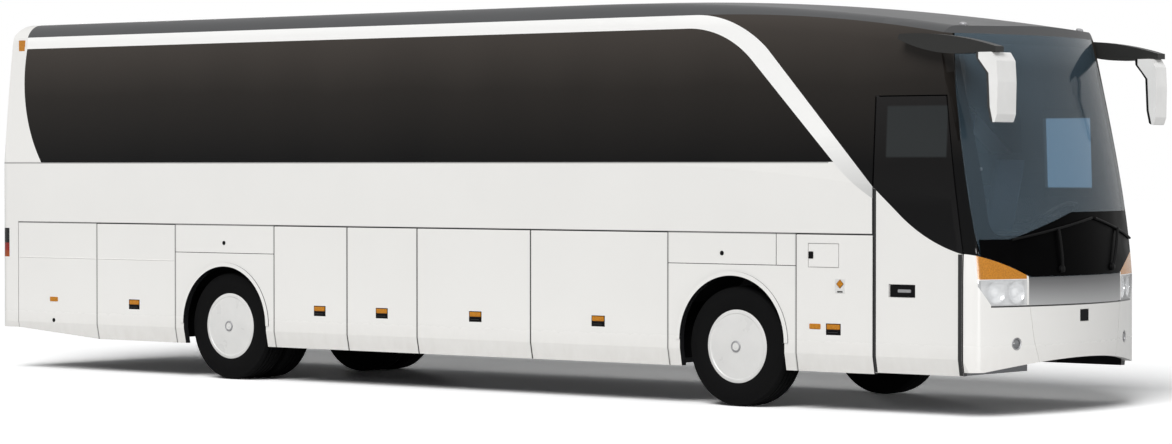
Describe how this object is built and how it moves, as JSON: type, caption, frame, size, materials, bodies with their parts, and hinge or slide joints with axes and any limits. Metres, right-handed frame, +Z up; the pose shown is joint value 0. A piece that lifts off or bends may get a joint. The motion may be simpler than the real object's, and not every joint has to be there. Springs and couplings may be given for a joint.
{
  "type": "coach bus",
  "caption": "Two-axle high-deck touring coach with hinged luggage flaps, swing-out passenger door, steered front wheels and a rear engine lid.",
  "frame": {"origin": "on the ground below the middle of the body", "axes": "+X towards the front of the coach, +Y to its left, +Z up"},
  "size_m": [12, 2.66, 3.51],
  "materials": {
    "spring_rubber": "matte",
    "body_paint": "gloss",
    "black_plastic": "matte",
    "frame_steel": "matte",
    "dark_glass": "gloss",
    "engine_iron": "matte",
    "floor_panel": "matte",
    "axle_iron": "matte",
    "silver_paint": "satin",
    "amber_lens": "gloss",
    "clear_lens": "gloss",
    "rail_alu": "satin",
    "white_plastic": "gloss",
    "roof_paint": "gloss",
    "seat_fabric": "matte",
    "red_lens": "gloss",
    "tyre_rubber": "matte",
    "wheel_steel": "satin",
    "screen_glass": "gloss"
  },
  "bodies": {
    "coach": {"air_springs": "spring_rubber", "dashboard": "black_plastic", "driver_side_panel": "body_paint", "engine": "engine_iron", "engine_side_panels": "body_paint", "entrance_steps": "floor_panel", "front_axle": "axle_iron", "front_grille": "silver_paint", "front_indicators": "amber_lens", "front_mask": "body_paint", "headlamps": "clear_lens", "hinge_rails": "rail_alu", "mirror_arms": "black_plastic", "mirror_heads": "white_plastic", "passenger_floor": "floor_panel", "rear_axle": "axle_iron", "rear_wall": "body_paint", "rear_window": "dark_glass", "roof": "roof_paint", "seats": "seat_fabric", "side_glass_left": "dark_glass", "side_glass_right": "dark_glass", "side_stripes": "body_paint", "side_wall_left": "body_paint", "side_wall_right": "body_paint", "tail_lamps": "red_lens", "underframe": "frame_steel", "wheel_arch_panels": "body_paint", "wheel_housings": "black_plastic", "windscreen": "screen_glass", "windscreen_frame": "black_plastic"},
    "rear_flap_right": {"rear_flap_right": "body_paint"},
    "rear_flap_left": {"rear_flap_left": "body_paint"},
    "bay_flap_4_right": {"bay_flap_4_right": "body_paint"},
    "bay_flap_4_left": {"bay_flap_4_left": "body_paint"},
    "bay_flap_3_right": {"bay_flap_3_right": "body_paint"},
    "bay_flap_3_left": {"bay_flap_3_left": "body_paint"},
    "bay_flap_2_right": {"bay_flap_2_right": "body_paint"},
    "bay_flap_2_left": {"bay_flap_2_left": "body_paint"},
    "bay_flap_1_right": {"bay_flap_1_right": "body_paint"},
    "bay_flap_1_left": {"bay_flap_1_left": "body_paint"},
    "front_flap_right": {"front_flap_right": "body_paint"},
    "front_flap_left": {"front_flap_left": "body_paint"},
    "engine_lid": {"engine_lid": "body_paint"},
    "door": {"door_leaf": "body_paint", "door_glass": "dark_glass"},
    "door_arms": {"door_arms": "frame_steel"},
    "knuckle_right": {"knuckle_right": "axle_iron"},
    "front_wheel_right": {"wheel_front_right": "wheel_steel", "tyre_front_right": "tyre_rubber"},
    "rear_wheels_right": {"wheel_rear_right": "wheel_steel", "tyre_rear_right": "tyre_rubber"},
    "knuckle_left": {"knuckle_left": "axle_iron"},
    "front_wheel_left": {"wheel_front_left": "wheel_steel", "tyre_front_left": "tyre_rubber"},
    "rear_wheels_left": {"wheel_rear_left": "wheel_steel", "tyre_rear_left": "tyre_rubber"},
    "track_rod": {"track_rod": "axle_iron"}
  },
  "joints": [
    {"name": "rear_flap_right_hinge", "type": "hinge", "parent": "coach", "child": "rear_flap_right", "pos_m": [-4.005, -1.263, 1.466], "axis": [-1, 0, 0], "range_deg": [0, 85]},
    {"name": "rear_flap_left_hinge", "type": "hinge", "parent": "coach", "child": "rear_flap_left", "pos_m": [-4.005, 1.263, 1.466], "axis": [1, 0, 0], "range_deg": [0, 85]},
    {"name": "bay_flap_4_right_hinge", "type": "hinge", "parent": "coach", "child": "bay_flap_4_right", "pos_m": [-1.6445, -1.263, 1.466], "axis": [-1, 0, 0], "range_deg": [0, 85]},
    {"name": "bay_flap_4_left_hinge", "type": "hinge", "parent": "coach", "child": "bay_flap_4_left", "pos_m": [-1.6445, 1.263, 1.466], "axis": [1, 0, 0], "range_deg": [0, 85]},
    {"name": "bay_flap_3_right_hinge", "type": "hinge", "parent": "coach", "child": "bay_flap_3_right", "pos_m": [-0.734, -1.263, 1.466], "axis": [-1, 0, 0], "range_deg": [0, 85]},
    {"name": "bay_flap_3_left_hinge", "type": "hinge", "parent": "coach", "child": "bay_flap_3_left", "pos_m": [-0.734, 1.263, 1.466], "axis": [1, 0, 0], "range_deg": [0, 85]},
    {"name": "bay_flap_2_right_hinge", "type": "hinge", "parent": "coach", "child": "bay_flap_2_right", "pos_m": [0.3835, -1.263, 1.466], "axis": [-1, 0, 0], "range_deg": [0, 85]},
    {"name": "bay_flap_2_left_hinge", "type": "hinge", "parent": "coach", "child": "bay_flap_2_left", "pos_m": [0.3835, 1.263, 1.466], "axis": [1, 0, 0], "range_deg": [0, 85]},
    {"name": "bay_flap_1_right_hinge", "type": "hinge", "parent": "coach", "child": "bay_flap_1_right", "pos_m": [1.839, -1.263, 1.466], "axis": [-1, 0, 0], "range_deg": [0, 85]},
    {"name": "bay_flap_1_left_hinge", "type": "hinge", "parent": "coach", "child": "bay_flap_1_left", "pos_m": [1.839, 1.263, 1.466], "axis": [1, 0, 0], "range_deg": [0, 85]},
    {"name": "front_flap_right_hinge", "type": "hinge", "parent": "coach", "child": "front_flap_right", "pos_m": [4.366, -1.263, 1.466], "axis": [-1, 0, 0], "range_deg": [0, 85]},
    {"name": "front_flap_left_hinge", "type": "hinge", "parent": "coach", "child": "front_flap_left", "pos_m": [4.366, 1.263, 1.466], "axis": [1, 0, 0], "range_deg": [0, 85]},
    {"name": "engine_lid_hinge", "type": "hinge", "parent": "coach", "child": "engine_lid", "pos_m": [-5.988, 0, 1.6], "axis": [0, 1, 0], "range_deg": [0, 80]},
    {"name": "door_swing", "type": "hinge", "parent": "coach", "child": "door_arms", "pos_m": [5.44, -1.1, 1], "axis": [0, 0, 1], "range_deg": [0, 114]},
    {"name": "door_leaf_swivel", "type": "hinge", "parent": "door_arms", "child": "door", "pos_m": [4.88307, -1.04146, 1], "axis": [0, 0, 1], "range_deg": [-114, 0]},
    {"name": "steer_right", "type": "hinge", "parent": "coach", "child": "knuckle_right", "pos_m": [3.3, -0.93, 0.512], "axis": [0, 0, 1], "range_deg": [-45, 45]},
    {"name": "front_wheel_right_spin", "type": "hinge", "parent": "knuckle_right", "child": "front_wheel_right", "pos_m": [3.3, -1.06, 0.512], "axis": [0, 1, 0], "continuous": true},
    {"name": "rear_wheels_right_spin", "type": "hinge", "parent": "coach", "child": "rear_wheels_right", "pos_m": [-2.78, -1.06, 0.512], "axis": [0, 1, 0], "continuous": true},
    {"name": "steer_left", "type": "hinge", "parent": "coach", "child": "knuckle_left", "pos_m": [3.3, 0.93, 0.512], "axis": [0, 0, 1], "range_deg": [-45, 45]},
    {"name": "front_wheel_left_spin", "type": "hinge", "parent": "knuckle_left", "child": "front_wheel_left", "pos_m": [3.3, 1.06, 0.512], "axis": [0, 1, 0], "continuous": true},
    {"name": "rear_wheels_left_spin", "type": "hinge", "parent": "coach", "child": "rear_wheels_left", "pos_m": [-2.78, 1.06, 0.512], "axis": [0, 1, 0], "continuous": true},
    {"name": "track_rod_pivot", "type": "hinge", "parent": "knuckle_left", "child": "track_rod", "pos_m": [3.12, 0.93, 0.39], "axis": [0, 0, 1], "range_deg": [-45, 45]}
  ],
  "couplings": [
    {"joint": "door_leaf_swivel", "follows": "door_swing", "ratio": -1},
    {"joint": "steer_right", "follows": "steer_left", "ratio": 1},
    {"joint": "track_rod_pivot", "follows": "steer_left", "ratio": -1}
  ]
}
